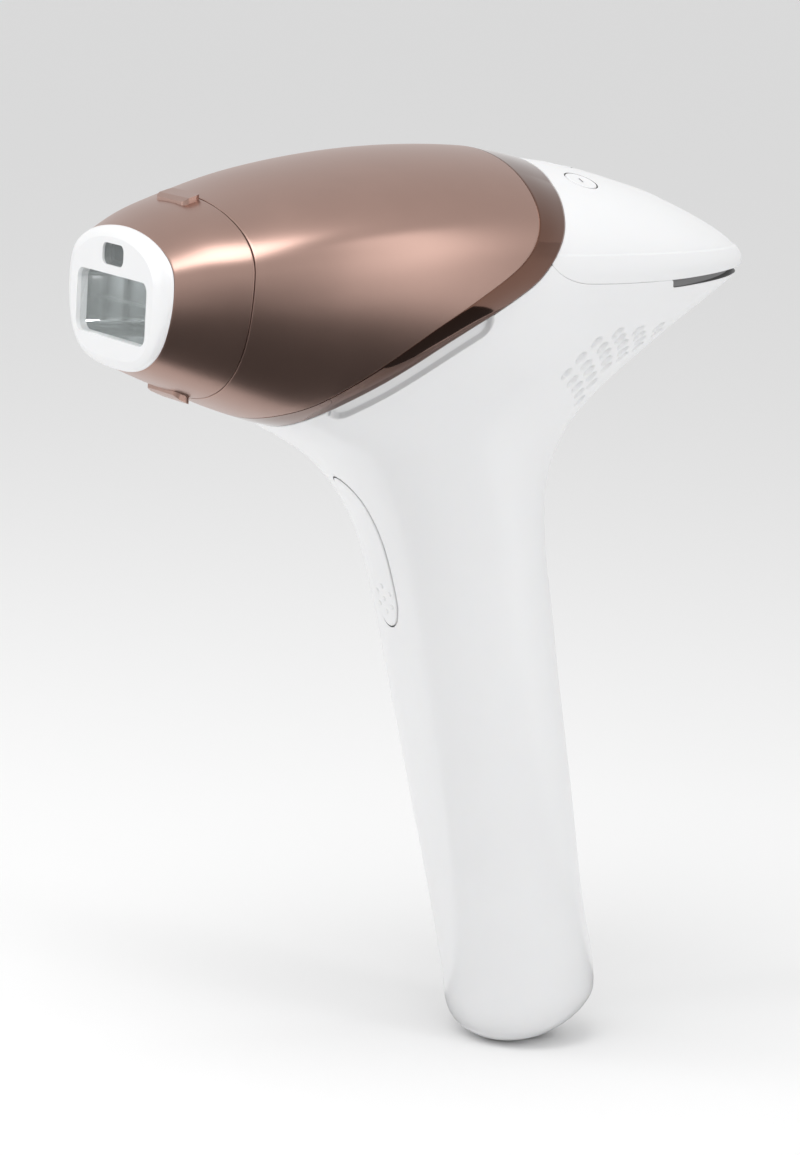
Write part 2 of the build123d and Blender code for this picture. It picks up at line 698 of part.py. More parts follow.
with BuildPart() as attachment_face:
    for y, pts in ((FACE_Y, barrel_pts(FACE_Y)), (1.0, face_pts(15.9, -12.4, 21.4, 3.0)), (0.3, face_pts(14.9, -11.4, 19.6, 3.4)),
                   (0.0, face_pts(14.0, -10.4, 18.3, 3.8))):
        with BuildSketch(Plane.XZ.offset(-y)):
            with BuildLine():
                Spline(*pts, periodic=True)
            make_face()
    loft()
    with BuildSketch(Plane.XZ.offset(-FACE_Y)):
        with BuildLine():
            Spline(*barrel_pts(FACE_Y, 1.9), periodic=True)
        make_face()
    extrude(amount=-2.2)
    with BuildSketch(Plane.XZ.offset(2)):
        RectangleRounded(WIN_W, WIN_H, 2.2)
        with Locations((0, SEN_Z)):
            RectangleRounded(SEN_W, SEN_H, 1.5)
    extrude(amount=-12, mode=Mode.SUBTRACT)
    with BuildSketch(Plane.XZ.offset(-FACE_Y)):
        RectangleRounded(WIN_W + 1.8, WIN_H + 1.8, 3.0)
    extrude(amount=-4, mode=Mode.SUBTRACT)
attachment_face.part.label = "attachment_face"
export_step(attachment_face.part, "parts/attachment_face.step")

with BuildPart() as treatment_window:
    with BuildSketch(Plane.XZ.offset(-0.9)):
        RectangleRounded(WIN_W, WIN_H, 2.2)
    extrude(amount=-1.5)
treatment_window.part.label = "treatment_window"
export_step(treatment_window.part, "parts/treatment_window.step")

with BuildPart() as sensor_window:
    with BuildSketch(Plane.XZ.offset(-0.5)):
        with Locations((0, SEN_Z)):
            RectangleRounded(SEN_W, SEN_H, 1.5)
    extrude(amount=-1.4)
sensor_window.part.label = "sensor_window"
export_step(sensor_window.part, "parts/sensor_window.step")

with BuildPart() as sensor_light_pipe:
    with Locations((0, 10.6, SEN_Z + 0.3)):
        Box(6, 17.4, 3.2)
sensor_light_pipe.part.label = "sensor_light_pipe"
export_step(sensor_light_pipe.part, "parts/sensor_light_pipe.step")

with BuildPart() as attachment_reflector:
    for y, w, h in ((FACE_Y, WIN_W + 1.6, WIN_H + 1.6), (19.5, 34, 15.2)):
        with BuildSketch(Plane.XZ.offset(-y)):
            RectangleRounded(w, h, 2.9)
    loft()
    for y, w, h in ((FACE_Y, WIN_W, WIN_H), (19.5, 32.4, 13.6)):
        with BuildSketch(Plane.XZ.offset(-y)):
            RectangleRounded(w, h, 2.2)
    loft(mode=Mode.SUBTRACT)
attachment_reflector.part.label = "attachment_reflector"
export_step(attachment_reflector.part, "parts/attachment_reflector.step")

def sleeve(y, y0, y1, inset):
    with BuildPart() as p:
        with BuildSketch(Plane.XZ.offset(-y0)):
            with BuildLine():
                Spline(*barrel_pts(y, inset), periodic=True)
            make_face()
        extrude(amount=-(y1 - y0))
    return p.part


spigot_flange = one(one(loft_y([9, 12, 15], 2.2) - box(0, 114, 0, 200, 200, 400)) - loft_y([8, 12, 16], 5.6))
spigot_sleeve = one(sleeve(16.8, 12.0, 21.6, 4.3) - sleeve(16.8, 11.0, 23.0, 5.65))
with BuildPart() as attachment_spigot:
    add(one(spigot_flange + spigot_sleeve))
attachment_spigot.part.label = "attachment_spigot"
export_step(attachment_spigot.part, "parts/attachment_spigot.step")

with BuildPart() as release_tabs:
    with BuildSketch(Plane.YZ.offset(-6.5)):
        with BuildLine():
            Polyline((12.2, 19), (12.2, 21.9), (13.2, 22.7), (16.0, 23.6), (16.0, 19), close=True)
        make_face()
        with BuildLine():
            Polyline((12.2, -14), (12.2, -17.5), (13.4, -18.4), (16.0, -19.5), (16.0, -14), close=True)
        make_face()
    extrude(amount=13)
    fillet(release_tabs.edges().filter_by(Axis.Z), 1.2)
    add(barrel_outer, mode=Mode.SUBTRACT)
release_tabs.part.label = "release_tabs"
export_step(release_tabs.part, "parts/release_tabs.step")
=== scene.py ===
import json
import math
import numpy as np
import bpy
import bmesh
from mathutils import Matrix, Vector


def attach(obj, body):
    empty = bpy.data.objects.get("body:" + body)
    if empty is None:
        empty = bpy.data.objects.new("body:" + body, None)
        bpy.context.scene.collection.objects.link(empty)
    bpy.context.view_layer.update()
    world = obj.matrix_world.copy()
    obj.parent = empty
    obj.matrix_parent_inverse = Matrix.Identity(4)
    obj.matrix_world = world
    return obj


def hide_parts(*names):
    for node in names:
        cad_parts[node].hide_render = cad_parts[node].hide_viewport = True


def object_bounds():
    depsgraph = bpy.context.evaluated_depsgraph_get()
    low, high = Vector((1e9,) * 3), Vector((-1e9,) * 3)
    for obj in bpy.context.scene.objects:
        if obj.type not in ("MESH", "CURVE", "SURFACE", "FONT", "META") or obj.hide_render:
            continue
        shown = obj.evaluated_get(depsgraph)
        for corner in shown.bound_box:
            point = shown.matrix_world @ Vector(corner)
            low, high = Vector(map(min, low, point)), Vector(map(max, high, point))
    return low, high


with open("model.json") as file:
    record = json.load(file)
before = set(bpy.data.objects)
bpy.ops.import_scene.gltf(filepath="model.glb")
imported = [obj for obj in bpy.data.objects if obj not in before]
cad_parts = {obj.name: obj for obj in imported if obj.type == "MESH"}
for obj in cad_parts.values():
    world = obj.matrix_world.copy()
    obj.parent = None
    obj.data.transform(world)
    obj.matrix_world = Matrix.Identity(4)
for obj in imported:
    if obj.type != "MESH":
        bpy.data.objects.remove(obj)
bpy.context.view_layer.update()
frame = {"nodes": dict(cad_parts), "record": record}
MM = 0.001

# ------------------------------------------------------------------ surface tables (mm), as built
BY = [2.4, 9, 16.5, 27, 40, 55, 72, 90, 108]
BT = [16.3, 20.0, 22.9, 26.7, 30.1, 32.6, 33.8, 33.1, 30.1]
BB = [-12.9, -15.6, -18.5, -22.3, -24.8, -26.2, -26.8, -27.0, -26.1]
AY = [2.4, 9, 16.5, 28, 40, 72, 108]
AW = [22.7, 27.0, 30.9, 34.0, 35.4, 35.9, 31.1]
RZ = [-163.8, -163.0, -161.0, -157.7, -155.5, -152, -130, -105, -80, -62, -50, -40, -32, -24, -16, -8,
      0, 4, 6, 7.4, 9, 10.8, 13, 15.4, 18, 20.6, 23.8, 26.6, 28.7, 30.4, 31.2, 31.8, 32.4]
RY = [106.3, 111.3, 116.4, 121.8, 124.2, 126.2, 121.1, 116.1, 110.7, 107.1, 104.6, 103.8, 105.2, 109.7, 117.8, 128.1,
      139.4, 145.2, 148.0, 149.8, 151.6, 152.4, 151.2, 148.6, 143.6, 138.0, 130.0, 122.0, 114.0, 105.0, 98.5, 92.5, 85.0]
FZ = [-163.8, -163.0, -161.5, -159, -156, -152, -130, -105, -80, -62, -50, -40, -32, -24, -16, -8, 0, 6, 10, 20, 32.4]
FY = [102.2, 98.6, 96.2, 94.4, 93.4, 92.7, 87.3, 80.4, 73.5, 68.5, 64.3, 58.1, 49.6, 34.4, 25.4, 20.5, 18, 17, 17, 20, 44]
WZ = [-163.8, -163.0, -161.5, -159, -156, -152, -130, -105, -80, -62, -50, -40, -32, -24, -16, -8, 0, 6, 10, 15, 20, 25, 28, 30, 31.2, 31.8, 32.4]
WW = [3.5, 7.6, 11.0, 13.8, 15.4, 16.3, 17.0, 17.8, 18.7, 19.4, 20.3, 21.6, 23.0, 25.0, 27.3, 29.5, 31.0, 32.0, 32.4, 32.0, 30.0, 25.5, 20.2, 14.2, 9.0, 5.4, 2.0]
RIM1 = [(82.4, 48), (82.4, 40), (82.3, 33.8), (81.7, 29), (81.1, 25), (80.0, 20.5), (78.0, 16), (75.2, 12.6), (71.6, 9.7),
        (68, 7.3), (61.9, 3.2), (56, -0.7), (50.4, -4.9), (43.6, -10.3), (38.8, -14.2), (35.6, -16.9), (32.6, -19.0),
        (29.6, -20.6), (27.2, -22.3), (25.6, -24.8), (24.6, -29), (24.2, -34)]
RIM2 = [(95.6, 48), (95.5, 40), (95.0, 31), (93.6, 28.4), (92.3, 26), (91.0, 23), (89.6, 19.6), (87.6, 16), (84.9, 12.2),
        (81.5, 8.4), (77.2, 5.2), (73.3, 2.6), (67.2, -1.1), (61.3, -4.8), (54.6, -9.4), (48.8, -13.4), (44.4, -16.4),
        (41.0, -19.0), (38.4, -21.2), (36.4, -23.6), (35.2, -27), (34.8, -34)]
LID = [(60, 30.0), (80, 17.0), (83.5, 13.6), (85.2, 11.9), (87, 10.45), (89.3, 9.3), (91.9, 8.5), (95.5, 8.05), (104, 8.0), (112.8, 8.15),
       (120.7, 8.35), (129.3, 8.8), (137.3, 9.3), (145, 9.8), (170, 11.2)]
KEYS = [("power_button", 0.0, 127.5, 4.5), ("mode_button_left", -13.0, 103.0, 3.6),
        ("mode_button_centre", 0.0, 104.5, 3.6), ("mode_button_right", 13.0, 103.0, 3.6)]
RAKE = math.radians(13.8)
AXIS = np.array([0, math.sin(RAKE), -math.cos(RAKE)])
MOUTH = np.array([0, 91.9, -80.0]) + AXIS * 84.4
TRIG = [(0, -36.6), (2.3, -37.7), (3.8, -40.6), (4.25, -45.5), (4.25, -61.5), (3.7, -65.6), (2.3, -68.2), (0, -69.2)]


def cubic(xs, ys):
    # natural cubic spline, straight outside its range
    xs, ys = np.array(xs, float), np.array(ys, float)
    n = len(xs)
    h = np.diff(xs)
    A = np.eye(n)
    b = np.zeros(n)
    for i in range(1, n - 1):
        A[i, i - 1], A[i, i], A[i, i + 1] = h[i - 1], 2 * (h[i - 1] + h[i]), h[i]
        b[i] = 6 * ((ys[i + 1] - ys[i]) / h[i] - (ys[i] - ys[i - 1]) / h[i - 1])
    m = np.linalg.solve(A, b)

    def f(x):
        x = np.asarray(x, float)
        k = np.clip(np.searchsorted(xs, x) - 1, 0, n - 2)
        t0, t1, hk = x - xs[k], xs[k + 1] - x, h[k]
        return (m[k] * t1**3 + m[k + 1] * t0**3) / (6 * hk) + (ys[k] / hk - m[k] * hk / 6) * t1 + (ys[k + 1] / hk - m[k + 1] * hk / 6) * t0
    return f


def pchip(xs, ys):
    xs, ys = np.array(xs, float), np.array(ys, float)
    h, d = np.diff(xs), np.diff(ys) / np.diff(xs)
    m = np.zeros(len(xs))
    m[0], m[-1] = d[0], d[-1]
    for i in range(1, len(xs) - 1):
        if d[i - 1] * d[i] > 0:
            w1, w2 = 2 * h[i] + h[i - 1], h[i] + 2 * h[i - 1]
            m[i] = (w1 + w2) / (w1 / d[i - 1] + w2 / d[i])

    def f(x):
        x = np.clip(np.asarray(x, float), xs[0], xs[-1])
        k = np.clip(np.searchsorted(xs, x) - 1, 0, len(xs) - 2)
        t = (x - xs[k]) / h[k]
        return ((2 * t**3 - 3 * t**2 + 1) * ys[k] + (t**3 - 2 * t**2 + t) * h[k] * m[k]
                + (-2 * t**3 + 3 * t**2) * ys[k + 1] + (t**3 - t**2) * h[k] * m[k + 1])
    return f


def smooth_table(xs, ys, sig):
    # monotone table, blurred by sig(x) and sampled every 0.2 mm
    f = pchip(xs, ys)
    g = np.arange(xs[0], xs[-1] + 0.1, 0.2)
    out = np.zeros(len(g))
    for i, x in enumerate(g):
        s = min(sig(x), (x - xs[0]) / 2.2 + 1e-3, (xs[-1] - x) / 2.2 + 1e-3)
        q = np.linspace(-2.5, 2.5, 31)
        w = np.exp(-q * q / 2)
        out[i] = (f(x + q * s) * w).sum() / w.sum()
    return lambda z: np.interp(z, g, out)


def sig_body(x):
    if x < -145:
        return 0.8
    if 3 < x < 14:
        return 0.9
    return 2.2


T_, B_, A_ = cubic(BY, BT), cubic(BY, BB), cubic(AY, AW)
R_, F_, W_ = smooth_table(RZ, RY, sig_body), smooth_table(FZ, FY, sig_body), smooth_table(WZ, WW, sig_body)
_r1 = sorted((z, y) for y, z in RIM1)
_r2 = sorted((z, y) for y, z in RIM2)
rim1 = smooth_table([p[0] for p in _r1], [p[1] for p in _r1], lambda x: 0.7)
rim2 = smooth_table([p[0] for p in _r2], [p[1] for p in _r2], lambda x: 0.7)
lid = smooth_table([p[0] for p in LID], [p[1] for p in LID], lambda x: 0.6)


def blur_closed(a, s):
    # circular blur along the last axis that keeps size
    n = a.shape[-1]
    k = np.fft.fftfreq(n) * n
    g = np.exp(-0.5 * (k * s) ** 2)
    g = 1 - (1 - g) ** 2
    return np.real(np.fft.ifft(np.fft.fft(a, axis=-1) * g, axis=-1))


NF = 1440
PHI = np.arange(NF) * 2 * math.pi / NF - math.pi / 2     # column angles, first column at the bottom / front


def polar(a, hp, hn, npos, nneg, s):
    # closed sections in polar form: rows of half width a, height hp above and hn below the centre
    c, sn = np.cos(PHI)[None, :], np.sin(PHI)[None, :]
    mix = 1 / (1 + np.exp(sn * 9))
    n = npos + (nneg - npos) * mix
    h = np.where(sn >= 0, hp[:, None], hn[:, None])
    r = ((np.abs(c) / a[:, None]) ** n + (np.abs(sn) / h) ** n) ** (-1 / n)
    return blur_closed(r * c, s), blur_closed(r * sn, s)


# barrel sections on a grid of y
GY = np.arange(1.0, 108.01, 0.25)
t, b, a = T_(GY), B_(GY), A_(GY)
zc = b + (t - b) * 0.69
bx, bz = polar(a, t - zc, zc - b, 1.97, 2.5, 0.09)
bz = bz + zc[:, None]

# body sections on a grid of z
GZ = np.concatenate([np.arange(-163.8, -140, 0.1), np.arange(-140, 32.41, 0.2)])
r, f, w = R_(GZ), F_(GZ), W_(GZ)
ph = 0.42 + 0.08 * np.clip(-GZ / 50, 0, 1)
yc = f + ph * (r - f)
wx, wy = polar(w, r - yc, yc - f, 2.0, 2.2, 0.05)
wy = wy + yc[:, None]


def barrel_at(y, j):
    return np.interp(y, GY, bx[:, j]), np.interp(y, GY, bz[:, j])


def body_at(z, j):
    return np.interp(z, GZ, wx[:, j]), np.interp(z, GZ, wy[:, j])


def first(mask):
    i = int(np.argmax(mask))
    return i if mask[i] else None


# ------------------------------------------------------------------ mesh helpers
def mesh_object(name, verts, faces, body, mat=None, smooth=True):
    me = bpy.data.meshes.new(name)
    me.from_pydata([tuple(v) for v in np.asarray(verts, float) * MM], [], faces)
    me.validate()
    me.update()
    ob = bpy.data.objects.new(name, me)
    bpy.context.scene.collection.objects.link(ob)
    if smooth:
        me.shade_smooth()
    if mat:
        me.materials.append(mat)
    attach(ob, body)
    return ob


def paint_seam_shade_rows(ob, nc_faces, rows, nfaces_rows):
    # the inward walls of a seam are painted dark grey: painted shade that reads as a thin shadow line
    ob.data.materials.append(MATS["gap_grey"])
    for i in rows:
        i = i if i >= 0 else nfaces_rows + i
        for k in range(i * nc_faces, (i + 1) * nc_faces):
            ob.data.polygons[k].material_index = 1


def grid_faces(nr, nc, closed, flip=False):
    out = []
    for i in range(nr - 1):
        for j in range(nc if closed else nc - 1):
            k = (j + 1) % nc
            q = (i * nc + j, i * nc + k, (i + 1) * nc + k, (i + 1) * nc + j)
            out.append(q[::-1] if flip else q)
    return out


def normals_grid(P, closed):
    # P rows x cols x 3, outward normals by differences
    du = np.gradient(P, axis=0)
    if closed:
        dv = (np.roll(P, -1, axis=1) - np.roll(P, 1, axis=1)) / 2
    else:
        dv = np.gradient(P, axis=1)
    n = np.cross(dv, du)
    n /= np.linalg.norm(n, axis=2, keepdims=True) + 1e-12
    return n


def with_lips(P, closed, start=None, end=None, rnd=0.16, deep=1.4, sign=1):
    # adds a small rounded edge and an inward wall to the first and last row of a grid
    n = normals_grid(P, closed) * sign
    rows = [P]
    if end is not None:
        e, ne = P[-1], n[-1]
        tdir = P[-1] - P[-3]
        tdir /= np.linalg.norm(tdir, axis=1, keepdims=True) + 1e-12
        rows.append(np.stack([e + tdir * rnd * math.sin(q) - ne * rnd * (1 - math.cos(q)) for q in (0.5, 1.0, 1.5)]))
        rows.append((rows[-1][-1] - ne * deep)[None])
    if start is not None:
        e, ne = P[0], n[0]
        tdir = P[0] - P[2]
        tdir /= np.linalg.norm(tdir, axis=1, keepdims=True) + 1e-12
        rows.insert(0, np.stack([e + tdir * rnd * math.sin(q) - ne * rnd * (1 - math.cos(q)) for q in (1.5, 1.0, 0.5)]))
        rows.insert(0, (rows[0][0] - ne * deep)[None])
    return np.concatenate(rows)


# ------------------------------------------------------------------ materials
def principled(name, base, rough, metal=0.0, coat=0.0, coat_rough=0.05, ior=1.5, spec=0.5, sss=0.0, trans=0.0, aniso=0.0, alpha=None):
    m = bpy.data.materials.new(name)
    m.use_nodes = True
    p = m.node_tree.nodes["Principled BSDF"]
    p.inputs["Base Color"].default_value = (*base, 1)
    p.inputs["Roughness"].default_value = rough
    p.inputs["Metallic"].default_value = metal
    p.inputs["Coat Weight"].default_value = coat
    p.inputs["Coat Roughness"].default_value = coat_rough
    p.inputs["IOR"].default_value = ior
    p.inputs["Specular IOR Level"].default_value = spec
    p.inputs["Subsurface Weight"].default_value = sss
    p.inputs["Subsurface Radius"].default_value = (0.004, 0.003, 0.002)
    p.inputs["Transmission Weight"].default_value = trans
    p.inputs["Anisotropic"].default_value = aniso
    return m, p


def vary(m, p, base, scale, amount, rough, rough_amount, bump=0.0, bump_scale=1500.0, dist=0.00003):
    # fine mottling of colour and roughness, and a micro bump
    nt = m.node_tree
    co = nt.nodes.new("ShaderNodeTexCoord")
    no = nt.nodes.new("ShaderNodeTexNoise")
    no.inputs["Scale"].default_value = scale
    no.inputs["Detail"].default_value = 4
    nt.links.new(co.outputs["Object"], no.inputs["Vector"])
    ramp = nt.nodes.new("ShaderNodeValToRGB")
    ramp.color_ramp.elements[0].position = 0.3
    ramp.color_ramp.elements[1].position = 0.7
    ramp.color_ramp.elements[0].color = (*[c * (1 - amount) for c in base], 1)
    ramp.color_ramp.elements[1].color = (*[min(1, c * (1 + amount)) for c in base], 1)
    nt.links.new(no.outputs["Fac"], ramp.inputs["Fac"])
    nt.links.new(ramp.outputs["Color"], p.inputs["Base Color"])
    mr = nt.nodes.new("ShaderNodeMapRange")
    mr.inputs["To Min"].default_value = rough - rough_amount
    mr.inputs["To Max"].default_value = rough + rough_amount
    nt.links.new(no.outputs["Fac"], mr.inputs["Value"])
    nt.links.new(mr.outputs["Result"], p.inputs["Roughness"])
    if bump:
        n2 = nt.nodes.new("ShaderNodeTexNoise")
        n2.inputs["Scale"].default_value = bump_scale
        n2.inputs["Detail"].default_value = 3
        nt.links.new(co.outputs["Object"], n2.inputs["Vector"])
        bu = nt.nodes.new("ShaderNodeBump")
        bu.inputs["Strength"].default_value = bump
        bu.inputs["Distance"].default_value = dist
        nt.links.new(n2.outputs["Fac"], bu.inputs["Height"])
        nt.links.new(bu.outputs["Normal"], p.inputs["Normal"])
    return m


MATS = {}


def make(name, base, rough, scale=60, amount=0.03, rough_amount=0.03, bump=0.0, bump_scale=1500.0, dist=0.00003, **kw):
    m, p = principled(name, base, rough, **kw)
    MATS[name] = vary(m, p, base, scale, amount, rough, rough_amount, bump, bump_scale, dist)
    return MATS[name]


make("white_gloss", (0.79, 0.793, 0.80), 0.30, amount=0.006, coat=0.25, coat_rough=0.12, sss=0.06, bump=0.05, bump_scale=2500)
make("copper_satin", (0.44, 0.290, 0.245), 0.32, metal=1.0, scale=90, amount=0.02, rough_amount=0.02, bump=0.12, bump_scale=6000, dist=0.00001)
make("copper_polished", (0.17, 0.088, 0.064), 0.045, metal=1.0, amount=0.015, rough_amount=0.01)
make("grey_plastic", (0.17, 0.17, 0.172), 0.42, amount=0.05, bump=0.15, bump_scale=3000)
make("dark_plastic", (0.05, 0.05, 0.052), 0.38, amount=0.06, bump=0.15, bump_scale=3000)
# dark grey: painted seam shade on the inward walls of seams and holes, and the printed bars on the keys
make("gap_grey", (0.09, 0.09, 0.09), 0.5, amount=0.03)
make("steel", (0.62, 0.62, 0.62), 0.3, metal=1.0, amount=0.04)
make("brass", (0.78, 0.58, 0.28), 0.3, metal=1.0, amount=0.05)
make("alu", (0.75, 0.76, 0.77), 0.34, metal=1.0, amount=0.04)
make("capacitor_can", (0.03, 0.04, 0.07), 0.32, amount=0.1)
make("board_green", (0.01, 0.09, 0.04), 0.35, amount=0.12, coat=0.3)
make("ferrite", (0.03, 0.03, 0.032), 0.55, amount=0.1)
make("mirror_metal", (0.66, 0.68, 0.68), 0.07, metal=0.92, amount=0.02)


def pane(name, base, rough, alpha):
    # thin clear pane: mostly see-through, with a sheen
    m = make(name, base, rough, amount=0.01, rough_amount=0.005)
    m.node_tree.nodes["Principled BSDF"].inputs["Alpha"].default_value = alpha
    return m


pane("lamp_glass", (0.85, 0.88, 0.9), 0.04, 0.30)
pane("window_glass", (0.62, 0.68, 0.67), 0.04, 0.16)
pane("sensor_glass", (0.20, 0.22, 0.22), 0.05, 0.55)

for name, ob in frame["nodes"].items():
    slot = next((s["material_slot"] for s in frame["record"]["subparts"] if s["node"] == name), None)
    if slot in MATS:
        for i in range(len(ob.material_slots)):
            ob.material_slots[i].material = MATS[slot]
        if not ob.material_slots:
            ob.data.materials.append(MATS[slot])

# ------------------------------------------------------------------ barrel cover
SEAM = 16.2
rim1_y = np.zeros(NF)
for j in range(NF):
    g = GY - rim1(bz[:, j])
    i = first(g > 0)
    g0, g1 = g[i - 1], g[i]
    rim1_y[j] = GY[i - 1] + 0.25 * (-g0) / (g1 - g0)
rim1_y = blur_closed(rim1_y[None], 0.012)[0]
JJ = np.arange(0, NF, 3)
tt = np.concatenate([np.linspace(0, 0.02, 4), np.linspace(0.02, 0.98, 90)[1:-1], np.linspace(0.98, 1, 4)])
P = np.zeros((len(tt), len(JJ), 3))
for c, j in enumerate(JJ):
    y = SEAM + 0.14 + (rim1_y[j] - 0.1 - SEAM - 0.14) * tt
    x, z = barrel_at(y, j)
    P[:, c] = np.stack([x, y, z], axis=1)
P = with_lips(P, True, start=1, end=1, sign=-1)
mesh_object("barrel_skin", P.reshape(-1, 3), grid_faces(P.shape[0], P.shape[1], True, flip=True), "body", MATS["copper_satin"])
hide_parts("barrel_cover")

# ------------------------------------------------------------------ attachment shell
tt = np.concatenate([np.linspace(0, 0.05, 4), np.linspace(0.05, 0.95, 40)[1:-1], np.linspace(0.95, 1, 4)])
P = np.zeros((len(tt), len(JJ), 3))
for c, j in enumerate(JJ):
    y = 2.55 + (15.92 - 2.55) * tt
    x, z = barrel_at(y, j)
    P[:, c] = np.stack([x, y, z], axis=1)
P = with_lips(P, True, start=1, end=1, sign=-1)
mesh_object("attachment_skin", P.reshape(-1, 3), grid_faces(P.shape[0], P.shape[1], True, flip=True), "attachment", MATS["copper_satin"])
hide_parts("attachment_shell")

# ------------------------------------------------------------------ body and control cover columns
lid_body = smooth_table([p[0] for p in LID if p[0] < 119] + [119.6, 120.5, 129.3, 137.3, 145, 170],
                        [p[1] for p in LID if p[0] < 119] + [8.33, 6.6, 7.05, 7.55, 8.05, 9.4], lambda x: 0.12 if 117 < x < 123 else 0.6)
body_top_z, lid_z, cover_top_z = np.full(NF, np.nan), np.full(NF, np.nan), np.full(NF, np.nan)
for j in range(NF):
    y = wy[:, j]
    ahead = (y < rim2(GZ)) & (GZ > -40)
    above = (GZ > lid(y)) & (GZ > 0)
    ia, il = first(ahead), first(above)
    if il is not None and (ia is None or il < ia):
        g = GZ - lid(y)
        k = il
        lid_z[j] = GZ[k - 1] + (GZ[k] - GZ[k - 1]) * (-g[k - 1]) / (g[k] - g[k - 1])
        g = GZ - lid_body(y)
        k = first((g > 0) & (GZ > 0))
        body_top_z[j] = GZ[k - 1] + (GZ[k] - GZ[k - 1]) * (-g[k - 1]) / (g[k] - g[k - 1])
        g = y - rim2(GZ)
        m = (g < 0) & (np.arange(len(GZ)) > il)
        k = first(m)
        cover_top_z[j] = GZ[-1] if k is None else GZ[k - 1] + (GZ[k] - GZ[k - 1]) * g[k - 1] / (g[k - 1] - g[k])
    else:
        g = y - rim2(GZ)
        k = ia
        body_top_z[j] = GZ[k - 1] + (GZ[k] - GZ[k - 1]) * g[k - 1] / (g[k - 1] - g[k])

print("cover columns", int(np.isfinite(lid_z).sum()), "rim top", np.nanmax(cover_top_z), "front rim", body_top_z[0])

NR_LO, NR_MID, NR_HI = 110, 150, 150
NC = NF // 2
JB = np.arange(0, NF, 2)
rows = []
P = np.zeros((0, NC, 3))
tcols = []
for c, j in enumerate(JB):
    e = body_top_z[j]
    z = np.concatenate([
        -163.8 + 12 * np.linspace(0, 1, 50) ** 1.6,
        np.linspace(-151.8, -30, 170)[1:],
        np.linspace(-30, e - 3.0, 210)[1:],
        np.linspace(e - 3.0, e - 0.14, 34)[1:]])
    x, y = body_at(z, j)
    tcols.append(np.stack([x, y, z], axis=1))
P = np.stack(tcols, axis=1)
N0 = normals_grid(P, True)
# the normals must point away from the axis
if (N0[100, 0] * (P[100, 0] - np.array([0, P[100, :, 1].mean(), P[100, 0, 2]]))).sum() < 0:
    N0 = -N0

# ------------------------------------------------------------------ air inlet recess beside the band (both sides)
side = np.array([(rim2(q), q) for q in np.linspace(6, -24, 200)])


def recess(P, Nrm, zlo, zhi, wide, deep, endr):
    # depth below the surface, by distance from the rim in side view
    out = np.zeros(P.shape[:2])
    near = (P[..., 2] < zhi + 6) & (P[..., 2] > zlo - 6)
    idx = np.argwhere(near)
    q = P[near][:, 1:3]
    for s in range(0, len(q), 4000):
        qq = q[s:s + 4000]
        d = np.linalg.norm(qq[:, None] - side[None], axis=2)
        k = d.argmin(axis=1)
        dist = d[np.arange(len(qq)), k]
        zz = side[k, 1]
        # capsule in (along, across): signed distance to its edge
        along = np.maximum(0, np.maximum(zz - (zhi - endr), (zlo + endr) - zz)) * 1.55
        sd = np.hypot(along, np.maximum(0, dist)) - wide
        w = np.clip(0.5 - sd / 0.5, 0, 1)
        w = w * w * (3 - 2 * w)
        out[tuple(idx[s:s + 4000].T)] = w * deep
    return out


dep = recess(P, N0, -19.6, 1.6, 2.9, 1.5, 2.0)
P = P - N0 * dep[..., None]


# ------------------------------------------------------------------ outlet louvres: rows of oval dents wrapping the underside
VENTS = [[(24.64, 95.0, -11.62), (22.94, 97.67, -13.35), (21.19, 100.08, -14.86), (19.35, 101.98, -16.5), (16.99, 103.81, -18.48)],
         [(25.31, 97.88, -8.16), (23.8, 100.3, -9.85), (22.39, 102.05, -11.29), (20.73, 103.83, -12.77), (18.72, 105.43, -14.55)],
         [(25.55, 101.34, -4.88), (24.32, 103.7, -6.16), (23.09, 105.35, -7.56), (21.49, 106.98, -9.27), (19.85, 108.05, -10.98)],
         [(24.54, 107.07, -2.99), (23.36, 108.69, -4.38), (22.01, 110.29, -5.8), (20.36, 111.67, -7.51), (18.8, 112.68, -8.96)],
         [(22.01, 113.99, -2.88), (20.68, 115.29, -4.18), (19.12, 116.59, -5.5), (17.57, 117.31, -6.95)],
         [(18.42, 121.7, -2.55), (16.6, 122.6, -4.0)]]
for row in VENTS:
    for i, q in enumerate(row):
        a_, b_ = np.array(row[max(0, i - 1)]), np.array(row[min(len(row) - 1, i + 1)])
        along = (b_ - a_) / np.linalg.norm(b_ - a_)
        for sx in (1, -1):
            qc = np.array(q) * np.array([sx, 1, 1])
            al = along * np.array([sx, 1, 1])
            d = P - qc
            near = (np.abs(d) < 4).all(axis=2)
            dn = d[near]
            nn = N0[near]
            u = dn @ al
            rest = dn - u[:, None] * al
            rest -= (rest * nn).sum(axis=1)[:, None] * nn
            v = np.linalg.norm(rest, axis=1)
            e = np.sqrt((v / 1.75) ** 2 + (u / 1.05) ** 2)
            w = np.clip((1 - e) / 0.5, 0, 1)
            w = w * w * (3 - 2 * w)
            P[near] -= nn * (w * 0.8)[:, None]

P = with_lips(P, True, end=1)
nr = P.shape[0]
verts = P.reshape(-1, 3)
faces = grid_faces(nr, NC, True)
faces.append(tuple(range(NC))[::-1])
body_skin = mesh_object("body_skin", verts, faces, "body", MATS["white_gloss"])
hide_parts("body_shell_left", "body_shell_right")
# painted shade on the inward wall of the lip under the band
paint_seam_shade_rows(body_skin, NC, [nr - 2], nr - 1)


